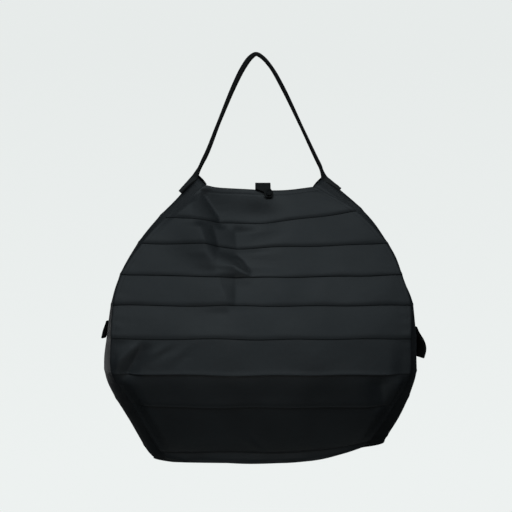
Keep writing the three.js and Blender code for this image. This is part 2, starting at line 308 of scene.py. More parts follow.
def wallSurface(facing, across, level, off, tier):
    base = wallPoint(facing, across, level)
    normal = wallNormal(facing, across, level)
    across, level = matched(across, level)
    x, z = base[..., 0], base[..., 2]
    folds = foldField(frontFolds if facing < 0 else backFolds, x, z, tier)
    if facing < 0:
        dishX = (x - tongueDish["x"]) / tongueDish["wide"]
        dishZ = (z - tongueDish["z"]) / tongueDish["high"]
        folds -= tongueDish["depth"] * np.exp(-(dishX**2) - dishZ**2)
    inside = fromSeam(across, level)
    quiet = smoothstep(inside, *seamFade["waves"])
    uneven = np.sin(2 * np.pi * z / puckers["pitch"] + 3 * np.sin(z / puckers["sway"]) + 9 * across)
    pucker = uneven * np.sin(z / puckers["swell"]) * np.exp(-inside / puckers["reach"])
    raised = folds * smoothstep(inside, *seamFade["folds"]) + waveField(facing, x, level) * quiet
    raised += puckers["height"] * pucker * smoothstep(inside, *seamFade["puckers"])
    raised += footFlare * np.clip(level - lastLine + 1, 0, 1) * quiet
    raised += fullness["out"] * np.clip(1 - np.abs(level - fullness["level"]), 0, 1) * quiet
    moved = base + normal * (off + raised)[..., None]
    moved[..., 2] += lineWander(facing, x, level) * quiet
    return moved, normal


# The pleated walls
walls = [
    {"name": "front_cloth", "facing": -1, "columns": 160, "rowsPerTier": 18, "node": "front_panel"},
    {"name": "back_cloth", "facing": 1, "columns": 124, "rowsPerTier": 13, "node": "back_panel"},
]
pleats = {
    "lip": (2.4, 2.4, 2.4, 2.4, 2.4, 2.8, 3.8, 2.4, 0.3),  # each folded edge stands off, in millimetres
    "under": 0.3 * mm,  # the next pleat's cloth under it
    "bend": 0.3 * mm,  # bend radius of both folds
    "rolled": (1.1, 1.0, 0.75, 0.85, 0.8, -0.5, 0.9, 0.4, 0),  # each folded edge curls in, in millimetres
    "rollLength": 5 * mm,
    "paintedHighlight": (0.15, 0.15, 0.15, 0.15, 0.3, 1, 0.5, 0.4, 0),  # strength of the painted highlight on each folded edge
    "paintedHighlightReach": 2 * mm,  # and how far above the edge the painted highlight begins
    "paintedHighlightAbove": 0.6,  # with this share of the painted highlight just above the edge
    "lap": 7 * mm,
    "settle": 12 * mm,  # the folds of one tier die out this far down the next
    "flatEnds": (6, 7),  # fold lines that flatten out before the side seams
    "flatShare": 0.8,  # they lose this share of their height
    "flatReach": (8 * mm, 28 * mm),  # between these distances from the seam
    "rowPower": 0.85,  # below 1, rows lie closer towards each folded edge
    "hemOff": 0.9 * mm,
    "hemInside": (11, 7, 3.5, 1.2),  # rows up the inside of the hem, in millimetres below the mouth's edge
    "hemRows": np.arange(0.5, 8, 0.75) * mm,  # close rows down the outside
    # strength of the painted highlight over the mouth's edge
    "hemPaintedHighlight": 0.4,
    "stitchLine": 5.2 * mm,  # hem stitching below the mouth's edge
    "stitchSink": 0.22 * mm,
    "stitchGroove": 0.8 * mm,
    "roll": 1.8 * mm,  # radius of the edges where they turn onto the gussets
    "seamLap": 1.0 * mm,  # and reach on over the gusset's edge
    "footRoll": 1.0 * mm,  # radius of the lower edge, turned under the base
    # strength of the painted highlight along the lower edge
    "footPaintedHighlight": 0.5,
}
rollAngles = np.radians((35, 70, 105))


def tierOff(level):  # how far the visible cloth stands off the wall
    tier = tierOf(level)
    share = level - tier
    start = np.where(tier == 0, pleats["hemOff"], pleats["under"])
    end = np.array(pleats["lip"])[tier] * mm
    rolled = np.array(pleats["rolled"])[tier] * mm
    near = np.maximum(0, 1 - (1 - share) * tierHeights[tier] / pleats["rollLength"])
    fromStitch = level * tierHeights[0] - pleats["stitchLine"]
    sink = pleats["stitchSink"] * np.exp(-((fromStitch / pleats["stitchGroove"]) ** 2))
    return start + (end - start) * share - rolled * near**2 - sink


def pleatEnds(across, level):  # share of the folded edge's height that is left towards the side seams
    lineBelow = np.ceil(level - 0.001)
    ends = 1 - smoothstep(fromSeam(across, level), *pleats["flatReach"])
    return 1 - pleats["flatShare"] * np.isin(lineBelow, pleats["flatEnds"]) * ends


def foldsFrom(level):  # which tier's folds the cloth follows, with a soft change at the top of each tier
    tier = tierOf(level)
    down = (level - tier) * tierHeights[tier]
    return np.maximum(0, tier - 1 + smoothstep(down, 0, pleats["settle"]))


def hemTurn():  # up the inside of the hem and over the mouth's edge, with a painted highlight over the edge
    off = pleats["hemOff"]
    stops = [(down * mm / tierHeights[0], -off, 0, 0) for down in pleats["hemInside"]]
    for angle in np.radians((0, 45, 90, 135)):
        rise = -off * math.sin(angle) / tierHeights[0]
        stops.append((rise, -off * math.cos(angle), pleats["hemPaintedHighlight"] * math.sin(angle), 0))
    return stops


def wallProfile(rowsPerTier):  # level, distance off the wall, painted highlight and tier, row by row
    stops = hemTurn()
    bend, under = pleats["bend"], pleats["under"]
    for tier in range(lastLine):
        high = tierHeights[tier]
        shares = np.linspace(0, 1, rowsPerTier, endpoint=False) ** pleats["rowPower"]
        if tier == 0:
            fine = pleats["hemRows"] / high
            shares = np.concatenate((fine, shares[shares > fine[-1]]))
        paintedHighlight = pleats["paintedHighlight"][tier]
        for share in shares:
            level = np.float64(tier + share)
            # painted highlight just above each folded edge
            near = max(0.0, 1 - (1 - share) * high / pleats["paintedHighlightReach"])
            paintedShine = pleats["paintedHighlightAbove"] * near * paintedHighlight
            stops.append((level, float(tierOff(level)), paintedShine, float(foldsFrom(level))))
        if tier == lastLine - 1:
            break
        line, lap = tier + 1, pleats["lap"] / high
        tip = (pleats["lip"][tier] - pleats["rolled"][tier]) * mm
        for turn in (0, 45, 90, 135, 180):  # round the folded edge, with a painted highlight on its outer half
            angle = math.radians(turn)
            drop = (bend * math.sin(angle) - bend) / high
            edge = tip - bend + bend * math.cos(angle)
            stops.append((line + drop, edge, paintedHighlight if turn <= 90 else 0, tier))
        inner = under + 2 * bend
        stops.append((line - 0.5 * lap, (tip - 2 * bend + inner) / 2, 0, tier))  # halfway up behind it
        for angle in np.radians((0, 60, 120, 180)):  # over the hidden fold
            rise = bend * math.sin(angle) / high
            stops.append((line - lap - rise, under + bend + bend * math.cos(angle), 0, tier))
        stops.append((line - 0.4 * lap, under, 0, tier))  # and down under the edge
    # painted highlight along the lower edge
    stops.append((lastLine, under, pleats["footPaintedHighlight"], lastLine - 1))
    return np.array(stops)


def freshGrid(name, columns, rows):  # a flat grid, with each point's column and row
    bpy.ops.object.select_all(action="DESELECT")
    bpy.ops.mesh.primitive_grid_add(x_subdivisions=columns, y_subdivisions=rows, size=1)
    piece = bpy.context.object
    piece.name = name
    flat = np.zeros(len(piece.data.vertices) * 3, np.float32)
    piece.data.vertices.foreach_get("co", flat)
    flat = flat.reshape(-1, 3)
    column = np.rint((flat[:, 0] + 0.5) * columns).astype(int)
    row = np.rint((0.5 - flat[:, 1]) * rows).astype(int)
    return piece, column, row


def layGrid(name, places, paintedShineAndFacing):  # places: rows by columns by xyz; UV in metres of cloth
    rows, columns = places.shape[0] - 1, places.shape[1] - 1
    piece, column, row = freshGrid(name, columns, rows)
    piece.data.vertices.foreach_set("co", places[row, column].astype(np.float32).ravel())
    wide = np.linalg.norm(np.diff(places, axis=1), axis=2)
    across = np.concatenate((np.zeros((rows + 1, 1)), np.cumsum(wide, axis=1)), axis=1)
    across -= across[:, columns // 2][:, None]
    tall = np.linalg.norm(np.diff(places, axis=0), axis=2).mean(axis=1)
    down = np.concatenate(([0], np.cumsum(tall)))
    corners = np.zeros(len(piece.data.loops), np.int32)
    piece.data.loops.foreach_get("vertex_index", corners)
    weave = np.stack([across[row, column][corners], -down[row][corners]], axis=1)
    piece.data.uv_layers.active.data.foreach_set("uv", weave.astype(np.float32).ravel())
    # a mark per point: painted highlight on the cloth's edges, share of cloth facing on the webbing
    mark = piece.data.attributes.new("paintedShineAndFacing", "FLOAT", "POINT")
    mark.data.foreach_set("value", paintedShineAndFacing[row, column].astype(np.float32))
    piece.data.update()
    piece.location = (0, 0, 0)
    bpy.ops.object.shade_smooth()
    return piece


def applyAll(piece):
    bpy.ops.object.select_all(action="DESELECT")
    piece.select_set(True)
    bpy.context.view_layer.objects.active = piece
    for modifier in list(piece.modifiers):
        bpy.ops.object.modifier_apply(modifier=modifier.name)


def soften(piece, width, segments, angle):
    bevel = piece.modifiers.new("softEdge", "BEVEL")
    bevel.width = width
    bevel.segments = segments
    bevel.limit_method = "ANGLE"
    bevel.angle_limit = math.radians(angle)


def thicken(piece, thickness, softEdge=0.0):  # to both sides of the sheet
    solid = piece.modifiers.new("thickness", "SOLIDIFY")
    solid.thickness = thickness
    solid.offset = 0
    solid.use_quality_normals = True
    if softEdge:
        soften(piece, softEdge, 2, 50)
    applyAll(piece)


def finishPiece(piece, slot, *nodes):
    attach(piece, "root")
    if nodes:
        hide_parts(*nodes)


def finishCloth(piece, node):
    thicken(piece, bagForm["cloth"])
    finishPiece(piece, "pleated_cloth", node)
    print(piece.name, "laid,", len(piece.data.polygons), "faces")
    return piece


def turnedIn(edge, inner, normals, radius):  # rows that turn a sheet's edge in, and the normal they turn from
    along = unit(edge - inner)
    normal = unit(normals - along * (normals * along).sum(-1, keepdims=True))
    rows = [edge + radius * (along * math.sin(a) - normal * (1 - math.cos(a))) for a in rollAngles]
    return rows, normal


def rolledEdges(places, normals, radius, below):  # extra columns that turn the side edges in under the seam
    left, leftNormal = turnedIn(places[:, 0], places[:, 1], normals[:, 0], radius)
    right, rightNormal = turnedIn(places[:, -1], places[:, -2], normals[:, -1], radius)
    left.append(left[-1] - leftNormal * below[:, None])
    right.append(right[-1] - rightNormal * below[:, None])
    return np.concatenate((np.stack(left[::-1], 1), places, np.stack(right, 1)), axis=1)


def rolledFoot(places, normals):  # extra rows that turn the lower edge under
    rows, _ = turnedIn(places[-1], places[-2], normals[-1], pleats["footRoll"])
    return np.concatenate((places, np.stack(rows)), axis=0)


def grown(paintedShineAndFacing, rows, columns):  # the painted highlight map with the rolled edges added
    return np.pad(paintedShineAndFacing, ((0, rows), (columns, columns)), mode="edge")


def makeWall(name, facing, columns, rowsPerTier, node):
    profile = wallProfile(rowsPerTier)
    across = np.linspace(-1, 1, columns + 1)[None, :]
    level, off, paintedShineAndFacing, tier = (profile[:, k][:, None] for k in range(4))
    kept = pleatEnds(across, level)
    off = off * kept
    places, normals = wallSurface(facing, across, level, off, tier)
    turns = len(rollAngles)
    footed = rolledFoot(places, normals)
    normals = np.concatenate((normals, np.repeat(normals[-1:], turns, 0)), axis=0)
    below = np.pad(off[:, 0], (0, turns), mode="edge") + pleats["seamLap"]
    placed = rolledEdges(footed, normals, pleats["roll"], below)
    return finishCloth(layGrid(name, placed, grown(paintedShineAndFacing * kept**2, turns, turns + 1)), node)


frontCloth, backCloth = [makeWall(**wall) for wall in walls]


# The gussets
gussets = {
    "columns": 56,
    "rowsPerTier": 14,
    "pressed": 0.8 * mm,  # height of the creases pressed in by folding the bag flat
    "acrossShare": 0.8,  # those that run across have this share of it
    "crease": 2.2 * mm,  # their width
    "middleFrom": (1.2, 2.4),  # the crease down the middle sets in between these fold lines
    "seed": 31,
    "hollows": 7,
    "lengths": (45, 120),  # of the soft hollows, in millimetres
    "slack": 1.1 * mm / 3,  # height of each
    "pull": 1.6 * mm,  # folds that run down from the strap
    "pullStart": 0.4,  # fold lines below the mouth
    "pullReach": 1.4,
    "hemEnd": 0.35,  # the hem's thickness ends this many fold lines below the mouth
    "tuck": 0.5 * mm,  # the side edges lie this far under the walls' rolled edges
    "tuckShare": 0.1,  # over this share of the half width
}


def gussetSurface(side, around, level, off):
    base = gussetPoint(side, around, level)
    normal = gussetNormal(side, around, level)
    around, level = matched(around, level)
    draws = np.random.default_rng(gussets["seed"] + side)
    nearest = np.rint(level)
    away = np.abs(level - nearest) * tierHeights.mean()
    lines = np.where((nearest > 0) & (nearest < lastLine), np.exp(-away / gussets["crease"]), 0)
    middle = np.exp(-np.abs(base[..., 1]) / gussets["crease"]) * smoothstep(level, *gussets["middleFrom"])
    raised = gussets["pressed"] * (lines * gussets["acrossShare"] + middle)
    for _ in range(gussets["hollows"]):
        length = draws.uniform(*gussets["lengths"]) * mm
        lean = draws.uniform(0, 2 * np.pi)
        turn = (base[..., 1] * math.cos(lean) + base[..., 2] * math.sin(lean)) / length
        raised += gussets["slack"] * np.sin(2 * np.pi * turn + draws.uniform(0, 6))
    fade = np.exp(-np.maximum(level - gussets["pullStart"], 0) / gussets["pullReach"])
    raised += gussets["pull"] * np.sin(9 * around + 0.8) * fade * smoothstep(level, gussets["pullStart"], 1)
    shown = smoothstep(1 - np.abs(around), 0, gussets["tuckShare"])
    moved = base + normal * (off + raised * shown - gussets["tuck"] * (1 - shown))[..., None]
    return moved, normal


def makeGusset(name, side, node):
    rows = np.linspace(0, lastLine, lastLine * gussets["rowsPerTier"] + 1)[1:]
    outside = [(level, pleats["hemOff"] * max(0.0, 1 - level / gussets["hemEnd"]), 0, 0) for level in rows]
    profile = np.array(hemTurn() + outside)
    around = np.linspace(-1, 1, gussets["columns"] + 1)[None, :] * -side
    level, off, paintedShineAndFacing = (profile[:, k][:, None] for k in range(3))
    places, normals = gussetSurface(side, around, level, off)
    paintedShineAndFacing = grown(np.broadcast_to(paintedShineAndFacing, places.shape[:2]), len(rollAngles), 0)
    return finishCloth(layGrid(name, rolledFoot(places, normals), paintedShineAndFacing), node)


gussetLeft = makeGusset("gusset_left_cloth", -1, "gusset_left")
gussetRight = makeGusset("gusset_right_cloth", 1, "gusset_right")


# The base
baseSheet = {
    "columns": 96,
    "rows": 36,
    "inset": 1.4 * mm,  # inside the walls' lower edges
    "sink": 1.2 * mm,
    "ends": 0.985,
    "flared": 0.9,  # share of the walls' flare that it follows
    "slack": 0.8 * mm,
    "ripple": 17 * mm,
}


def makeBase():
    along = np.linspace(-1, 1, baseSheet["columns"] + 1) * baseSheet["ends"]
    width = np.linspace(-1, 1, baseSheet["rows"] + 1)[:, None]
    foot = float(lastLine)
    out = np.abs(along) * outerReach(along, foot)
    seam = seamReach(along, foot)
    across = np.minimum(1, out / seam)
    past = np.maximum(0, out - seam) / smoothAt("seam", foot)
    flare = baseSheet["flared"] * footFlare * smoothstep(seam - out, *seamFade["waves"])
    reach = wallDepth(across, foot) * np.sqrt(1 - past) + flare - baseSheet["inset"]
    x = bagForm["centre"] + np.sign(along) * out
    z = lineHeight(np.sign(along) * across, foot) - baseSheet["sink"]
    soft = (1 - width**2) * (1 - along**2)
    ripple = np.sin(x / baseSheet["ripple"] + 2 * width) * np.sin(3 * width + 1)
    y = -width * reach
    places = np.stack([np.broadcast_to(x, y.shape), y, z + baseSheet["slack"] * ripple * soft], axis=-1)
    return finishCloth(layGrid("base_cloth", places[::-1], np.zeros(y.shape)), "base_panel")


baseCloth = makeBase()


# Webbing: the strap, the side tabs and the tongue
def curveThrough(points, samples):  # smooth curve, tighter where the points are close
    points = np.asarray(points, float)
    first, last = 2 * points[0] - points[1], 2 * points[-1] - points[-2]
    padded = np.concatenate(([first], points, [last]))
    gaps = np.sqrt(np.linalg.norm(np.diff(padded, axis=0), axis=1))
    place = np.linspace(0, len(points) - 1, samples)
    row = np.minimum(place.astype(int), len(points) - 2)
    p0, p1, p2, p3 = (padded[row + k] for k in range(4))
    g0, g1, g2 = (gaps[row + k][:, None] for k in range(3))
    leave = ((p1 - p0) / g0 - (p2 - p0) / (g0 + g1) + (p2 - p1) / g1) * g1
    arrive = ((p2 - p1) / g1 - (p3 - p1) / (g1 + g2) + (p3 - p2) / g2) * g1
    return curveBetween(p1, p2, leave, arrive, (place - row)[:, None]), place


def tangents(path):
    return unit(np.gradient(path, axis=0))


def turnedBand(along, twist, side=1):  # outward and sideways directions of a band that twists about its path
    out = unit(np.stack([-along[:, 2], np.zeros(len(along)), along[:, 0]], axis=1)) * side
    depth = np.array([0, 1, 0])
    straight, turned = np.cos(twist)[:, None], np.sin(twist)[:, None] * side
    return out * straight - depth * turned, out * turned + depth * straight


def layBand(name, path, outward, sideways, half, columns, cup=0.0, faced=0.0):  # a band's middle sheet
    half, cup, faced = (np.broadcast_to(values, len(path))[:, None] for values in (half, cup, faced))
    width = np.linspace(-1, 1, columns + 1) * half
    fall = cup * width**2
    places = path[:, None] + width[..., None] * sideways[:, None] - fall[..., None] * outward[:, None]
    return layGrid(name, places, np.repeat(faced, columns + 1, 1))


strap = {
    "width": 22 * mm,
    "thick": 2.7 * mm,
    "soft": 0.5 * mm,
    "seat": 2.0 * mm,  # its middle above the gusset's surface
    "samples": 300,
    "columns": 12,
    "sewn": (0.4, 0.3, 0.2, 0.1, 0.0),  # fold lines below the mouth
    "sewnTwist": (0, 0, 0, 1, 4),  # degrees, at those places
    "faced": (0.05, 0.3),  # the bag's cloth over the sewn ends sets in between these shares of them
}
strapRun = {  # free run between the gussets, in millimetres, with its twist in degrees
    "x": (-64.4, -46.2, -27.5, -16.2, -7, 0, 8, 19.4, 34, 57.5, 78.8),
    "z": (-128.8, -83.8, -38.8, -16.2, -3.2, 1.2, -3, -16.2, -42, -91.2, -136.2),
    "twist": (12.5, 9.5, 14, 16.5, 17.5, 16, 14, 11.5, 12, 8.2, 11),
}


def sewnPoints(side):
    levels = np.array(strap["sewn"])
    normals = gussetNormal(side, np.zeros(len(levels)), levels)
    return gussetPoint(side, 0.0, levels) + normals * strap["seat"]


def gussetCurl(side, levels):  # how fast the gusset falls away beside its middle, per metre
    normal = gussetNormal(side, np.zeros(len(levels)), levels)
    fall = smoothAt("seam", levels) * np.abs(normal[:, 0]) + smoothAt("peak", levels) * normal[:, 2]
    return fall / gussetReach(levels) ** 2


def strapFrames():  # path, outward and sideways directions, curl across, and how far into a sewn end
    free = np.array([(x, 0, z) for x, z in zip(strapRun["x"], strapRun["z"])]) * mm
    points = np.concatenate((sewnPoints(-1), free, sewnPoints(1)[::-1]))
    path, place = curveThrough(points, strap["samples"])
    twists = np.concatenate((strap["sewnTwist"], strapRun["twist"], strap["sewnTwist"][::-1]))
    twist = np.radians(np.interp(place, np.arange(len(twists)), twists))
    outward, sideways = turnedBand(tangents(path), twist)
    ends = len(strap["sewn"])
    inward = np.minimum(place, len(points) - 1 - place)  # in points, from the nearer end
    levels = np.interp(inward, np.arange(ends), strap["sewn"])
    curl = np.where(place < len(points) / 2, gussetCurl(-1, levels), gussetCurl(1, levels))
    return path, outward, sideways, curl * np.clip(ends - inward, 0, 1) ** 2, np.maximum(0, 1 - inward / ends)


strapPath, strapOut, strapSide, strapCups, strapSewn = strapFrames()
strapBand = layBand(
    "strap_webbing", strapPath, strapOut, strapSide, strap["width"] / 2, strap["columns"],
    strapCups, smoothstep(strapSewn, *strap["faced"]),
)
thicken(strapBand, strap["thick"], strap["soft"])
finishPiece(strapBand, "strap_webbing", "handle_strap")
print("strap laid")

# A tape inside each gusset's top edge, under the sewn strap
edgeTape = {
    "wide": 9 * mm,
    "thick": 1.1 * mm,
    "soft": 0.3 * mm,
    "inside": 1.6 * mm,  # behind the gusset's surface
    "shows": {-1: 5.4 * mm, 1: 4.4 * mm},  # above the edge, at the left and at the right
    "ends": 0.93,
    "taper": 0.85,
    "samples": 60,
    "columns": 6,
}


def layTape(name, side):
    around = np.linspace(-edgeTape["ends"], edgeTape["ends"], edgeTape["samples"])
    level = np.zeros(edgeTape["samples"])
    outward = gussetNormal(side, around, level)
    path = gussetPoint(side, around, level) - outward * edgeTape["inside"]
    path[:, 2] += edgeTape["shows"][side] - edgeTape["wide"] / 2
    upright = unit(np.cross(outward, tangents(path)))
    upright *= np.sign(upright[:, 2:])
    half = edgeTape["wide"] / 2 * np.sqrt(1 - edgeTape["taper"] * around**8)
    tape = layBand(name, path, outward, upright, half, edgeTape["columns"])
    thicken(tape, edgeTape["thick"], edgeTape["soft"])
    finishPiece(tape, "strap_webbing")
    return tape


edgeTapes = [layTape("edge_tape_left", -1), layTape("edge_tape_right", 1)]
print("edge tapes laid")

sideTabs = [  # root height, length and distances off the gusset in millimetres, free end's turn in degrees
    {
        "name": "pull_tab_left", "side": -1,
        "root": -333, "length": 20, "off": (0, 0.2, 0.8, 1.5, 2.3), "turn": 4,
    },
    {
        "name": "pull_tab_right", "side": 1,
        "root": -340, "length": 36, "off": (0, 2.2, 4.8, 5.8, 3.6), "turn": -25,
    },
]
tabs = {
    "width": 20 * mm,
    "ply": 1.25 * mm,
    "soft": 0.35 * mm,
    "seat": 1.8 * mm,
    "spread": 0.8 * mm,  # half the distance between the two plies
    "gape": (0.85, 0.5),  # that share of it at the ends, and so much more at the middle
    "turned": 0.8,  # the turn is complete at this share of the length
    "samples": 26,
    "columns": 10,
    "edgeInset": 2.2 * mm,  # stitching along the edges
    "edgePitch": 2.6 * mm,
    "crossRows": (3, 5),  # and across the root
    "crossShare": 0.8,
    "crossSamples": 20,
    "crossPitch": 1.8 * mm,
}


def tabFrames(tab):  # down the outer ply, round the fold and up the inner ply
    points = []
    for index, off in enumerate(tab["off"]):
        down = tab["length"] * index / (len(tab["off"]) - 1)
        level = np.array([levelAt((tab["root"] - down) * mm)])
        normal = gussetNormal(tab["side"], np.zeros(1), level)
        points.append((gussetPoint(tab["side"], 0.0, level) + normal * (tabs["seat"] + off * mm))[0])
    middle, place = curveThrough(points, tabs["samples"])
    share = place / place[-1]
    along = tangents(middle)
    turn = np.radians(tab["turn"]) * smoothstep(share, 0, tabs["turned"])
    outward, sideways = turnedBand(along, turn, tab["side"])
    half = tabs["spread"] * (tabs["gape"][0] + tabs["gape"][1] * np.sin(np.pi * share) ** 2)[:, None]
    angles = np.radians((30, 60, 90, 120, 150))
    foldOut = np.array([outward[-1] * math.cos(a) + along[-1] * math.sin(a) for a in angles])
    outer, inner = middle + outward * half, middle - outward * half
    path = np.concatenate((outer, middle[-1] + half[-1] * foldOut, inner[::-1]))
    faces = np.concatenate((outward, foldOut, -outward[::-1]))
    sides = np.concatenate((sideways, np.repeat(sideways[-1:], len(angles), 0), sideways[::-1]))
    return path, faces, sides


tabPaths = [tabFrames(tab) for tab in sideTabs]
tabBands = []
for tab, frames in zip(sideTabs, tabPaths):
    band = layBand(tab["name"] + "_webbing", *frames, tabs["width"] / 2, tabs["columns"])
    thicken(band, tabs["ply"], tabs["soft"])
    finishPiece(band, "strap_webbing", tab["name"])
    tabBands.append(band)
print("side tabs laid")

tongue = {
    "width": 19 * mm,
    "tip": 11 * mm,
    "thick": 1.3 * mm,
    "soft": 0.35 * mm,
    "faced": 0.4,  # how much it looks like the cloth
    "root": 8.5 * mm,
    "shift": 7 * mm,
    "stand": 4.2 * mm,  # its middle off the front wall: hem, socket and gaps
    "behind": 2.4,  # its root in front of the back wall, in millimetres
    "narrows": (0.7, 0.88),  # shares of its length
    "rounds": (0.9, 1.04),
    "samples": 90,
    "columns": 14,
    "studAcross": 0.12,
    "studDown": 4.4 * mm,
    "edgeInset": 1.9 * mm,  # stitching along the edges
    "edgeLeast": 0.2 * mm,
    "edgePitch": 2.4 * mm,
}
tongueRun = {  # across the mouth, in shares of its half depth, and millimetres above its edge
    "across": (1, 1, 0.72, 0.1, -0.6),
    "over": (-14, -3, 6.5, 10.5, 9.5),
}
tongueDown = (-1.5, 3, 9.5)  # millimetres below the mouth's edge, down the outside of the front hem


def hemSpot(down, off):  # a place off the front hem in line with the press stud, and the hem's normal there
    across, level = np.array([tongue["studAcross"]]), np.array([down / tierHeights[0]])
    normal = wallNormal(-1, across, level)[0]
    return wallPoint(-1, across, level)[0] + normal * off, normal


def tongueFrames():
    mouth = foldLines["height"][0] * mm
    back = (foldLines["middle"][0] - tongue["behind"]) * mm
    points = [(0, back * a, mouth + o * mm) for a, o in zip(tongueRun["across"], tongueRun["over"])]
    points += [hemSpot(down * mm, tongue["stand"])[0] for down in tongueDown]
    path, place = curveThrough(points, tongue["samples"])
    share = place / place[-1]
    tapered = smoothstep(share, *tongue["narrows"])
    path[:, 0] = tongue["root"] + tongue["shift"] * tapered
    along = tangents(path * np.array([0, 1, 1]))
    outward = np.stack([np.zeros(len(along)), along[:, 2], -along[:, 1]], axis=1)
    narrow = 1 + (tongue["tip"] / tongue["width"] - 1) * tapered
    rounded = np.sqrt(1 - smoothstep(share, *tongue["rounds"]) ** 2)
    return path, outward, tongue["width"] / 2 * narrow * rounded


tonguePath, tongueOut, tongueHalf = tongueFrames()
tongueSide = np.tile(np.array([1.0, 0, 0]), (len(tonguePath), 1))
tongueBand = layBand(
    "closure_webbing", tonguePath, tongueOut, tongueSide, tongueHalf, tongue["columns"], faced=tongue["faced"]
)
thicken(tongueBand, tongue["thick"], tongue["soft"])
finishPiece(tongueBand, "strap_webbing", "closure_tab")
print("tongue laid")


# The press stud
studs = {
    "sides": 40,
    "flat": 0.34,  # ring round the dish, its slope and its floor, in shares of the radius
    "slope": 0.1,
    "floor": 0.3,
    "rim": 0.4 * mm,
    "socket": {"radius": 3.2 * mm, "high": 1.5 * mm, "seat": 1.7 * mm, "dish": -0.3 * mm},
    "cap": {"radius": 4.0 * mm, "high": 1.6 * mm, "seat": 5.5 * mm, "dish": -0.35 * mm},
}


def makeStud(name, size, node):
    bpy.ops.object.select_all(action="DESELECT")
    bpy.ops.mesh.primitive_cylinder_add(
        vertices=studs["sides"], radius=size["radius"], depth=size["high"], location=(0, 0, size["high"] / 2)
    )
    stud = bpy.context.object
    stud.name = name
    bpy.ops.object.transform_apply(location=True, rotation=True, scale=True)
    bpy.ops.object.mode_set(mode="EDIT")
    bpy.ops.mesh.select_mode(type="FACE")
    bpy.ops.mesh.select_all(action="DESELECT")
    bpy.ops.object.mode_set(mode="OBJECT")
    for face in stud.data.polygons:
        face.select = face.normal.z > 0.9
    bpy.ops.object.mode_set(mode="EDIT")
    bpy.ops.mesh.inset(thickness=size["radius"] * studs["flat"])
    bpy.ops.mesh.inset(thickness=size["radius"] * studs["slope"], depth=size["dish"])
    bpy.ops.mesh.inset(thickness=size["radius"] * studs["floor"])
    bpy.ops.object.mode_set(mode="OBJECT")
    soften(stud, studs["rim"], 3, 35)
    applyAll(stud)
    bpy.ops.object.shade_smooth_by_angle(angle=math.radians(40))
    spot, axis = hemSpot(tongue["studDown"], size["seat"])
    turn = Vector((0, 0, 1)).rotation_difference(Vector(axis)).to_matrix().to_4x4()
    stud.data.transform(Matrix.Translation(Vector(spot)) @ turn)
    finishPiece(stud, "snap_plastic", node)
    return stud


snapSocket = makeStud("snap_socket_disc", studs["socket"], "snap_socket")
snapCap = makeStud("snap_cap_disc", studs["cap"], "snap_cap")
print("press stud made")


# Stitching: each seam's stitches are copies of one bead, joined as one piece
thread = {
    "pitch": 3.1 * mm,
    "length": 2.3 * mm,
    "radius": 0.24 * mm,
    "flat": 0.8,  # a stitch's height as a share of its width
    "proud": 0.3,  # its middle above the cloth, in radii
}
seams = {  # stitched rows on the walls
    "hemEnds": 0.97,
    "hemSamples": 160,
    "inset": 4.5 * mm,
    "sideEnds": 0.05,  # fold lines short of the mouth and the base
    "sideSamples": 700,
    "footEnds": 0.95,
    "footRise": 4 * mm,
    "footSamples": 300,
}


def stitchBead():
    bpy.ops.object.select_all(action="DESELECT")
    bpy.ops.mesh.primitive_uv_sphere_add(segments=6, ring_count=5, radius=1)
    bead = bpy.context.object
    points = np.array([v.co[:] for v in bead.data.vertices])
    faces = [tuple(face.vertices) for face in bead.data.polygons]
    bpy.data.objects.remove(bead)
    return points, faces


beadPoints, beadFaces = stitchBead()


def readAlong(at, run, rows):  # each column of the rows, at places along a run
    return np.stack([np.interp(at, run, rows[:, k]) for k in range(3)], axis=1)


def everyPitch(path, normals, pitch):  # even places along a path, with direction and normal
    steps = np.linalg.norm(np.diff(path, axis=0), axis=1)
    run = np.concatenate(([0], np.cumsum(steps)))
    at = np.arange(pitch / 2, run[-1], pitch)
    along = unit(readAlong(at, run, np.gradient(path, axis=0)))
    return readAlong(at, run, path), along, unit(readAlong(at, run, normals))


def sewLines(name, lines):
    points, faces = [], []
    count = 0
    for path, normals, pitch in lines:
        spots, along, facing = everyPitch(path, normals, pitch)
        sideways = unit(np.cross(along, facing))
        facing = np.cross(sideways, along)
        length = thread["length"] / 2 * pitch / thread["pitch"]
        shape = beadPoints * np.array([length, thread["radius"], thread["radius"] * thread["flat"]])
        for spot, a, s, f in zip(spots, along, sideways, facing):
            points.append(spot + shape @ np.stack([a, s, f]))
            faces += [tuple(index + count for index in face) for face in beadFaces]
            count += len(beadPoints)
    mesh = bpy.data.meshes.new(name)
    mesh.from_pydata(np.concatenate(points).tolist(), [], faces)
    seam = bpy.data.objects.new(name, mesh)
    bpy.context.scene.collection.objects.link(seam)
    mesh.shade_smooth()
    finishPiece(seam, "strap_webbing")
    print(name, "sewn,", len(points), "stitches")
    return seam


def threadLift(thick):  # a stitch's middle above the middle of the sheet it is sewn on
    return thick / 2 + thread["radius"] * thread["proud"]


def onWall(facing, across, level):
    off = tierOff(level) * pleatEnds(across, level) + threadLift(bagForm["cloth"])
    places, normals = wallSurface(facing, across, level, off, foldsFrom(level))
    return places, normals, thread["pitch"]


def hemLines():
    across = np.linspace(-seams["hemEnds"], seams["hemEnds"], seams["hemSamples"])
    level = np.full_like(across, pleats["stitchLine"] / tierHeights[0])
    return [onWall(facing, across, level) for facing in (-1, 1)]


def seamLines(facing):
    rows = []
    level = np.linspace(seams["sideEnds"], lastLine - seams["sideEnds"], seams["sideSamples"])
    for side in (-1, 1):
        reach = seamReach(side, level)
        rows.append(onWall(facing, side * (1 - seams["inset"] / reach), level))
    across = np.linspace(-seams["footEnds"], seams["footEnds"], seams["footSamples"])
    rows.append(onWall(facing, across, np.full_like(across, lastLine - seams["footRise"] / tierHeights[-1])))
    return rows


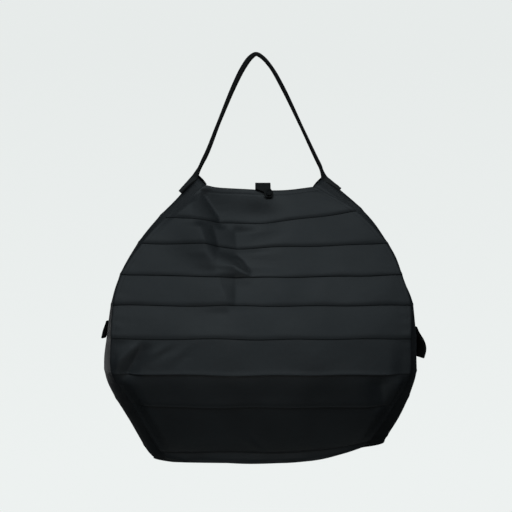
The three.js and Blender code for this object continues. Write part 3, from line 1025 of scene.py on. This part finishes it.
hemStitches = sewLines("hem_stitches", hemLines())
frontStitches = sewLines("front_seam_stitches", seamLines(-1))
backStitches = sewLines("back_seam_stitches", seamLines(1))

strapSeams = {
    "inset": 2.4 * mm,
    "box": (0.0126, 0.084),  # the sewn boxes begin and end at these shares of the strap
    "boxInset": 4.5 * mm,
    "boxPitch": 2.4 * mm,
    "samples": 12,
}


def strapLines():
    rows = []
    inset = strap["width"] / 2 - strapSeams["inset"]
    for edge in (-inset, inset):
        middle = strapPath + strapSide * edge - strapOut * (strapCups * edge**2)[:, None]
        for face in (-strapOut, strapOut):
            rows.append((middle + face * threadLift(strap["thick"]), face, thread["pitch"]))
    return rows


def strapBoxes():  # a box with a cross on each sewn end
    rows = []
    half = strap["width"] / 2 - strapSeams["boxInset"]
    low, high = strapSeams["box"]
    corners = [(low, -1), (low, 1), (high, 1), (high, -1), (low, -1), (high, 1), (low, 1), (high, -1)]
    steps = np.arange(len(strapPath))
    for order in (1, -1):
        path, out, side, cups = (values[::order] for values in (strapPath, strapOut, strapSide, strapCups))
        for start, end in zip(corners, corners[1:]):
            at = np.linspace(start[0], end[0], strapSeams["samples"]) * steps[-1]
            edge = np.linspace(start[1], end[1], strapSeams["samples"]) * half
            spots, outs, sides = (readAlong(at, steps, values) for values in (path, out, side))
            lift = threadLift(strap["thick"]) - np.interp(at, steps, cups) * edge**2
            rows.append((spots + sides * edge[:, None] + outs * lift[:, None], outs, strapSeams["boxPitch"]))
    return rows


strapStitches = sewLines("strap_stitches", strapLines() + strapBoxes())


def tabLines():
    rows = []
    lift = threadLift(tabs["ply"])
    outer = slice(2, tabs["samples"])
    width = np.linspace(-1, 1, tabs["crossSamples"])[:, None] * tabs["crossShare"] * tabs["width"] / 2
    for path, faces, sides in tabPaths:
        for edge in (-1, 1):
            shift = sides[outer] * edge * (tabs["width"] / 2 - tabs["edgeInset"])
            rows.append((path[outer] + shift + faces[outer] * lift, faces[outer], tabs["edgePitch"]))
        for row in tabs["crossRows"]:
            place = path[row] + sides[row] * width + faces[row] * lift
            rows.append((place, np.tile(faces[row], (len(width), 1)), tabs["crossPitch"]))
    for edge in (-1, 1):
        inset = np.maximum(tongueHalf - tongue["edgeInset"], tongue["edgeLeast"])[:, None]
        place = tonguePath + tongueSide * edge * inset + tongueOut * threadLift(tongue["thick"])
        rows.append((place, tongueOut, tongue["edgePitch"]))
    return rows


tabStitches = sewLines("tab_stitches", tabLines())


# Finishes
def feed(tree, socket, value):  # a link from another node's socket, or a plain value
    if isinstance(value, bpy.types.NodeSocket):
        tree.links.new(value, socket)
    else:
        socket.default_value = value


def addNode(tree, kind, inputs=None, **settings):
    node = tree.nodes.new(kind)
    for name, value in settings.items():
        setattr(node, name, value)
    for name, value in (inputs or {}).items():
        feed(tree, node.inputs[name], value)
    return node


def groupNode(tree, group, inputs):
    return addNode(tree, "ShaderNodeGroup", inputs, node_tree=group).outputs


def mathOf(tree, operation, *values):
    return addNode(tree, "ShaderNodeMath", dict(enumerate(values)), operation=operation).outputs[0]


def rangeOf(tree, value, low, high, fromLow=0.0, fromHigh=1.0):
    inputs = {"Value": value, "From Min": fromLow, "From Max": fromHigh, "To Min": low, "To Max": high}
    return addNode(tree, "ShaderNodeMapRange", inputs).outputs["Result"]


def noiseOf(tree, place, scale, detail):
    inputs = {"Vector": place, "Scale": scale, "Detail": detail}
    return addNode(tree, "ShaderNodeTexNoise", inputs).outputs["Fac"]


def bumpOf(tree, height, strength, distance, under=None):
    inputs = {"Height": height, "Strength": strength, "Distance": distance}
    if under is not None:
        inputs["Normal"] = under
    return addNode(tree, "ShaderNodeBump", inputs).outputs[0]


def mixColour(tree, share, first, second):
    node = addNode(tree, "ShaderNodeMix", {"Factor": share}, data_type="RGBA")
    for socket, value in ((node.inputs[6], first), (node.inputs[7], second)):
        feed(tree, socket, (*value, 1) if isinstance(value, tuple) else value)
    return node.outputs[2]


def newGroup(name, place, amount, *outputs):  # a vector and a value in, values out
    group = bpy.data.node_groups.new(name, "ShaderNodeTree")
    group.interface.new_socket(place, in_out="INPUT", socket_type="NodeSocketVector")
    group.interface.new_socket(amount, in_out="INPUT", socket_type="NodeSocketFloat")
    for label in outputs:
        group.interface.new_socket(label, in_out="OUTPUT", socket_type="NodeSocketFloat")
    return group, group.nodes.new("NodeGroupInput").outputs, group.nodes.new("NodeGroupOutput").inputs


def scaledParts(tree, place, scale):
    scaled = addNode(tree, "ShaderNodeVectorMath", {0: place, "Scale": scale}, operation="SCALE")
    return addNode(tree, "ShaderNodeSeparateXYZ", {0: scaled.outputs[0]}).outputs


def sineOf(tree, value, turns=1.0):
    return mathOf(tree, "SINE", mathOf(tree, "MULTIPLY", value, 2 * math.pi * turns))


def plainWeave():  # over-and-under threads, height from 0 to 1
    group, given, made = newGroup("plainWeave", "UV", "Threads", "Height")
    parts = scaledParts(group, given["UV"], given["Threads"])
    crossed = mathOf(group, "MULTIPLY", sineOf(group, parts[0]), sineOf(group, parts[1]))
    group.links.new(mathOf(group, "MULTIPLY_ADD", crossed, 0.5, 0.5), made["Height"])
    return group


ribShape = {"slant": 0.55, "height": 0.35, "cords": 0.8, "cordHeight": 0.12}  # cords run along the band


def ribbedWeave():  # slanting ribs that meet down the middle of a band
    group, given, made = newGroup("ribbedWeave", "UV", "Ribs", "Height")
    parts = scaledParts(group, given["UV"], given["Ribs"])
    slant = mathOf(group, "MULTIPLY", mathOf(group, "ABSOLUTE", parts[0]), ribShape["slant"])
    rib = sineOf(group, mathOf(group, "ADD", parts[1], slant))
    ribs = mathOf(group, "MULTIPLY_ADD", rib, ribShape["height"], 0.5)
    cord = sineOf(group, parts[0], ribShape["cords"])
    both = mathOf(group, "MULTIPLY_ADD", cord, ribShape["cordHeight"], ribs)
    group.links.new(both, made["Height"])
    return group


dustShape = {"grains": 1400.0, "from": (0.62, 0.8)}  # noise between these values grows into dust


def useTone():  # cloudy tone and fine dust over a surface
    group, given, made = newGroup("useTone", "Place", "Size", "Cloud", "Dust")
    group.links.new(noiseOf(group, given["Place"], given["Size"], 4.0), made["Cloud"])
    dust = noiseOf(group, given["Place"], dustShape["grains"], 2.0)
    group.links.new(rangeOf(group, dust, 0, 1, *dustShape["from"]), made["Dust"])
    return group


weaveGroup, ribGroup, toneGroup = plainWeave(), ribbedWeave(), useTone()
cloudRange = (0.3, 0.7)  # where most of the clouds' values lie


def newMaterial(name):
    material = bpy.data.materials.new(name)
    material.use_nodes = True
    tree = material.node_tree
    return material, tree, addNode(tree, "ShaderNodeTexCoord").outputs


def setShader(material, inputs):
    tree = material.node_tree
    for name, value in inputs.items():
        feed(tree, tree.nodes["Principled BSDF"].inputs[name], value)
    return material


# reads the mark: painted highlight on the cloth, share of cloth facing on the webbing
def paintedShineAndFacingMark(tree):
    return addNode(tree, "ShaderNodeAttribute", attribute_name="paintedShineAndFacing").outputs["Fac"]


def dusted(tree, tone, ground, look):
    share = mathOf(tree, "MULTIPLY", tone["Dust"], look["dustShare"])
    return mixColour(tree, share, ground, look["dust"])


clothLook = {
    "deep": (0.0080, 0.0098, 0.0114),
    "pale": (0.0116, 0.0142, 0.0163),
    "pressed": (0.046, 0.051, 0.056),  # painted highlight on the folded edges
    "paintedHighlightShare": 0.55,
    "dust": (0.11, 0.11, 0.11),
    "dustShare": 0.10,
    "clouds": 14.0,  # to the metre
    "toneRange": (0.35, 0.65),  # clouds between these values go from deep to pale
    "roughness": (0.48, 0.58),
    "specular": 0.42,
    "sheen": 0.03,
    "sheenRoughness": 0.45,
    "sheenTint": (0.75, 0.82, 0.9, 1),
    "threads": 2600.0,  # to the metre
    "weaveBump": (0.22, 0.00008),  # strength and height
    "crumples": 85.0,
    "crumpleBump": (0.35, 0.0007),
}


def clothMaterial():
    material, tree, place = newMaterial("pleated polyester")
    tone = groupNode(tree, toneGroup, {"Place": place["Object"], "Size": clothLook["clouds"]})
    weave = groupNode(tree, weaveGroup, {"UV": place["UV"], "Threads": clothLook["threads"]})
    cloudy = rangeOf(tree, tone["Cloud"], 0, 1, *clothLook["toneRange"])
    ground = mixColour(tree, cloudy, clothLook["deep"], clothLook["pale"])
    # painted highlight: the mark lightens the base colour towards the pressed edge tone
    paintedShine = mathOf(tree, "MULTIPLY", paintedShineAndFacingMark(tree), clothLook["paintedHighlightShare"])
    withPaintedHighlight = mixColour(tree, paintedShine, ground, clothLook["pressed"])
    crumple = noiseOf(tree, place["Object"], clothLook["crumples"], 3.0)
    soft = bumpOf(tree, crumple, *clothLook["crumpleBump"])
    return setShader(material, {
        "Base Color": dusted(tree, tone, withPaintedHighlight, clothLook),
        "Roughness": rangeOf(tree, tone["Cloud"], *clothLook["roughness"], *cloudRange),
        "Normal": bumpOf(tree, weave["Height"], *clothLook["weaveBump"], soft),
        "Specular IOR Level": clothLook["specular"],
        "Sheen Weight": clothLook["sheen"],
        "Sheen Roughness": clothLook["sheenRoughness"],
        "Sheen Tint": clothLook["sheenTint"],
    })


webbingLook = {
    "deep": (0.0057, 0.0058, 0.0057),
    "pale": (0.0156, 0.0153, 0.0147),
    "faced": (0.034, 0.035, 0.035),  # cloth over the strap's sewn ends
    "dust": (0.09, 0.09, 0.088),
    "dustShare": 0.12,
    "clouds": 60.0,
    "roughness": (0.62, 0.8),
    "specular": 0.09,
    "sheen": 0.02,
    "sheenRoughness": 0.5,
    "ribs": 620.0,  # to the metre
    "ribBump": (0.6, 0.0003),
}


def webbingMaterial():
    material, tree, place = newMaterial("ribbed webbing")
    tone = groupNode(tree, toneGroup, {"Place": place["Object"], "Size": webbingLook["clouds"]})
    rib = groupNode(tree, ribGroup, {"UV": place["UV"], "Ribs": webbingLook["ribs"]})["Height"]
    ground = mixColour(tree, rib, webbingLook["deep"], webbingLook["pale"])
    covered = mixColour(tree, paintedShineAndFacingMark(tree), ground, webbingLook["faced"])
    return setShader(material, {
        "Base Color": dusted(tree, tone, covered, webbingLook),
        "Roughness": rangeOf(tree, tone["Cloud"], *webbingLook["roughness"], *cloudRange),
        "Normal": bumpOf(tree, rib, *webbingLook["ribBump"]),
        "Specular IOR Level": webbingLook["specular"],
        "Sheen Weight": webbingLook["sheen"],
        "Sheen Roughness": webbingLook["sheenRoughness"],
    })


bindingLook = {
    "deep": (0.0014, 0.0016, 0.0018),
    "pale": (0.0032, 0.0035, 0.0038),
    "roughness": (0.75, 0.9),
    "specular": 0.03,
    "ribs": 1240.0,
    "bump": (0.5, 0.0002),
}
threadLook = {
    "deep": (0.012, 0.0135, 0.015),
    "pale": (0.034, 0.037, 0.04),
    "roughness": (0.42, 0.6),
    "specular": 0.25,
    "strands": 2600.0,
    "bump": (0.4, 0.0001),
}
snapLook = {
    "deep": (0.004, 0.0044, 0.0048),
    "pale": (0.009, 0.0095, 0.010),
    "roughness": (0.38, 0.52),
    "specular": 0.07,
    "clouds": 240.0,
    "grain": 3200.0,
    "bump": (0.15, 0.00005),
}


def twoTone(material, tone, height, look, toneRange=(0.0, 1.0)):  # colour and gloss by tone, bumps by height
    tree = material.node_tree
    return setShader(material, {
        "Base Color": mixColour(tree, tone, look["deep"], look["pale"]),
        "Roughness": rangeOf(tree, tone, *look["roughness"], *toneRange),
        "Normal": bumpOf(tree, height, *look["bump"]),
        "Specular IOR Level": look["specular"],
    })


def bindingMaterial():
    material, tree, place = newMaterial("edge binding")
    rib = groupNode(tree, ribGroup, {"UV": place["UV"], "Ribs": bindingLook["ribs"]})["Height"]
    return twoTone(material, rib, rib, bindingLook)


def threadMaterial():
    material, tree, place = newMaterial("sewing thread")
    strands = noiseOf(tree, place["Object"], threadLook["strands"], 2.0)
    return twoTone(material, strands, strands, threadLook)


def snapMaterial():
    material, tree, place = newMaterial("moulded snap")
    tone = groupNode(tree, toneGroup, {"Place": place["Object"], "Size": snapLook["clouds"]})["Cloud"]
    grain = noiseOf(tree, place["Object"], snapLook["grain"], 2.0)
    return twoTone(material, tone, grain, snapLook, cloudRange)


def dress(material, *pieces):
    for piece in pieces:
        piece.data.materials.clear()
        piece.data.materials.append(material)


dress(clothMaterial(), frontCloth, backCloth, gussetLeft, gussetRight, baseCloth)
dress(webbingMaterial(), strapBand, tongueBand, *tabBands)
dress(bindingMaterial(), *edgeTapes)
dress(threadMaterial(), hemStitches, frontStitches, backStitches, strapStitches, tabStitches)
dress(snapMaterial(), snapSocket, snapCap)
print("finishes set")


# Studio: pale floor, pale surround, soft light from above the camera
studio = {
    "floorHeight": -1.75,
    "floorRadius": 0.9,
    "floorTones": ((0.80, 0.78, 0.73), (0.84, 0.82, 0.77)),
    "floorRoughness": 0.8,
    "surroundTop": (0.800, 0.832, 0.823),
    "surroundLow": (0.847, 0.880, 0.871),
    "surroundRange": (0.15, -0.16),  # from the top's tone to the low one, in heights on the surround
    "ambientHigh": (0.085, 0.096, 0.106),
    "ambientLow": (0.006, 0.006, 0.0055),
    "ambientFrom": (-0.25, -0.45, 0.85),
    "ambientRange": (-0.1, 0.8),
    "aim": (0, 0, -0.33),
}


def addLight(name, place, wide, tall, power, colour=(1, 1, 1)):
    bpy.ops.object.light_add(type="AREA", location=place)
    light = bpy.context.object
    light.name = name
    light.data.shape = "RECTANGLE"
    light.data.size = wide
    light.data.size_y = tall
    light.data.energy = power
    light.data.color = colour
    aim = Vector(studio["aim"]) - Vector(place)
    light.rotation_euler = aim.to_track_quat("-Z", "Y").to_euler()


def makeFloor():
    bpy.ops.object.select_all(action="DESELECT")
    bpy.ops.mesh.primitive_circle_add(
        vertices=128, radius=studio["floorRadius"], fill_type="NGON", location=(0, 0, studio["floorHeight"])
    )
    floor = bpy.context.object
    floor.name = "studio_floor"
    bpy.ops.object.transform_apply(location=True, rotation=True, scale=True)
    material, tree, place = newMaterial("pale floor")
    tone = mixColour(tree, noiseOf(tree, place["Object"], 6.0, 2.0), *studio["floorTones"])
    dress(setShader(material, {"Base Color": tone, "Roughness": studio["floorRoughness"]}), floor)


def makeSurround():
    world = bpy.data.worlds.new("pale surround")
    bpy.context.scene.world = world
    world.use_nodes = True
    tree = world.node_tree
    tree.nodes.clear()
    ray = addNode(tree, "ShaderNodeTexCoord").outputs["Generated"]
    upward = addNode(tree, "ShaderNodeSeparateXYZ", {0: ray}).outputs[2]
    height = rangeOf(tree, upward, 0, 1, *studio["surroundRange"])
    seen = mixColour(tree, height, studio["surroundTop"], studio["surroundLow"])
    towards = addNode(
        tree, "ShaderNodeVectorMath", {0: ray, 1: studio["ambientFrom"]}, operation="DOT_PRODUCT"
    ).outputs["Value"]
    sky = rangeOf(tree, towards, 0, 1, *studio["ambientRange"])
    ambient = mixColour(tree, sky, studio["ambientLow"], studio["ambientHigh"])
    byCamera = addNode(tree, "ShaderNodeLightPath").outputs["Is Camera Ray"]
    shown = mixColour(tree, byCamera, ambient, seen)
    glow = addNode(tree, "ShaderNodeBackground", {"Color": shown, "Strength": 1.0})
    tree.links.new(glow.outputs[0], addNode(tree, "ShaderNodeOutputWorld").inputs["Surface"])


makeFloor()
makeSurround()
addLight("key", (-0.3, -2.75, 2.55), 5.2, 1.9, 64, (0.82, 0.945, 1))
addLight("left rim", (-1.4, 1.6, -0.62), 0.9, 0.5, 1.2)
addLight("floor glow", (-0.1, -1.3, -0.65), 0.8, 0.35, 1.25, (0.94, 0.985, 0.98))
addLight("left shoulder", (-1.2, 0.3, 1.6), 0.8, 0.8, 1.5, (0.85, 0.96, 1))
addLight("right shoulder", (1.2, 0.3, 1.6), 0.8, 0.8, 2.2, (0.85, 0.96, 1))
bpy.context.scene.view_settings.view_transform = "Standard"
print("studio lit")
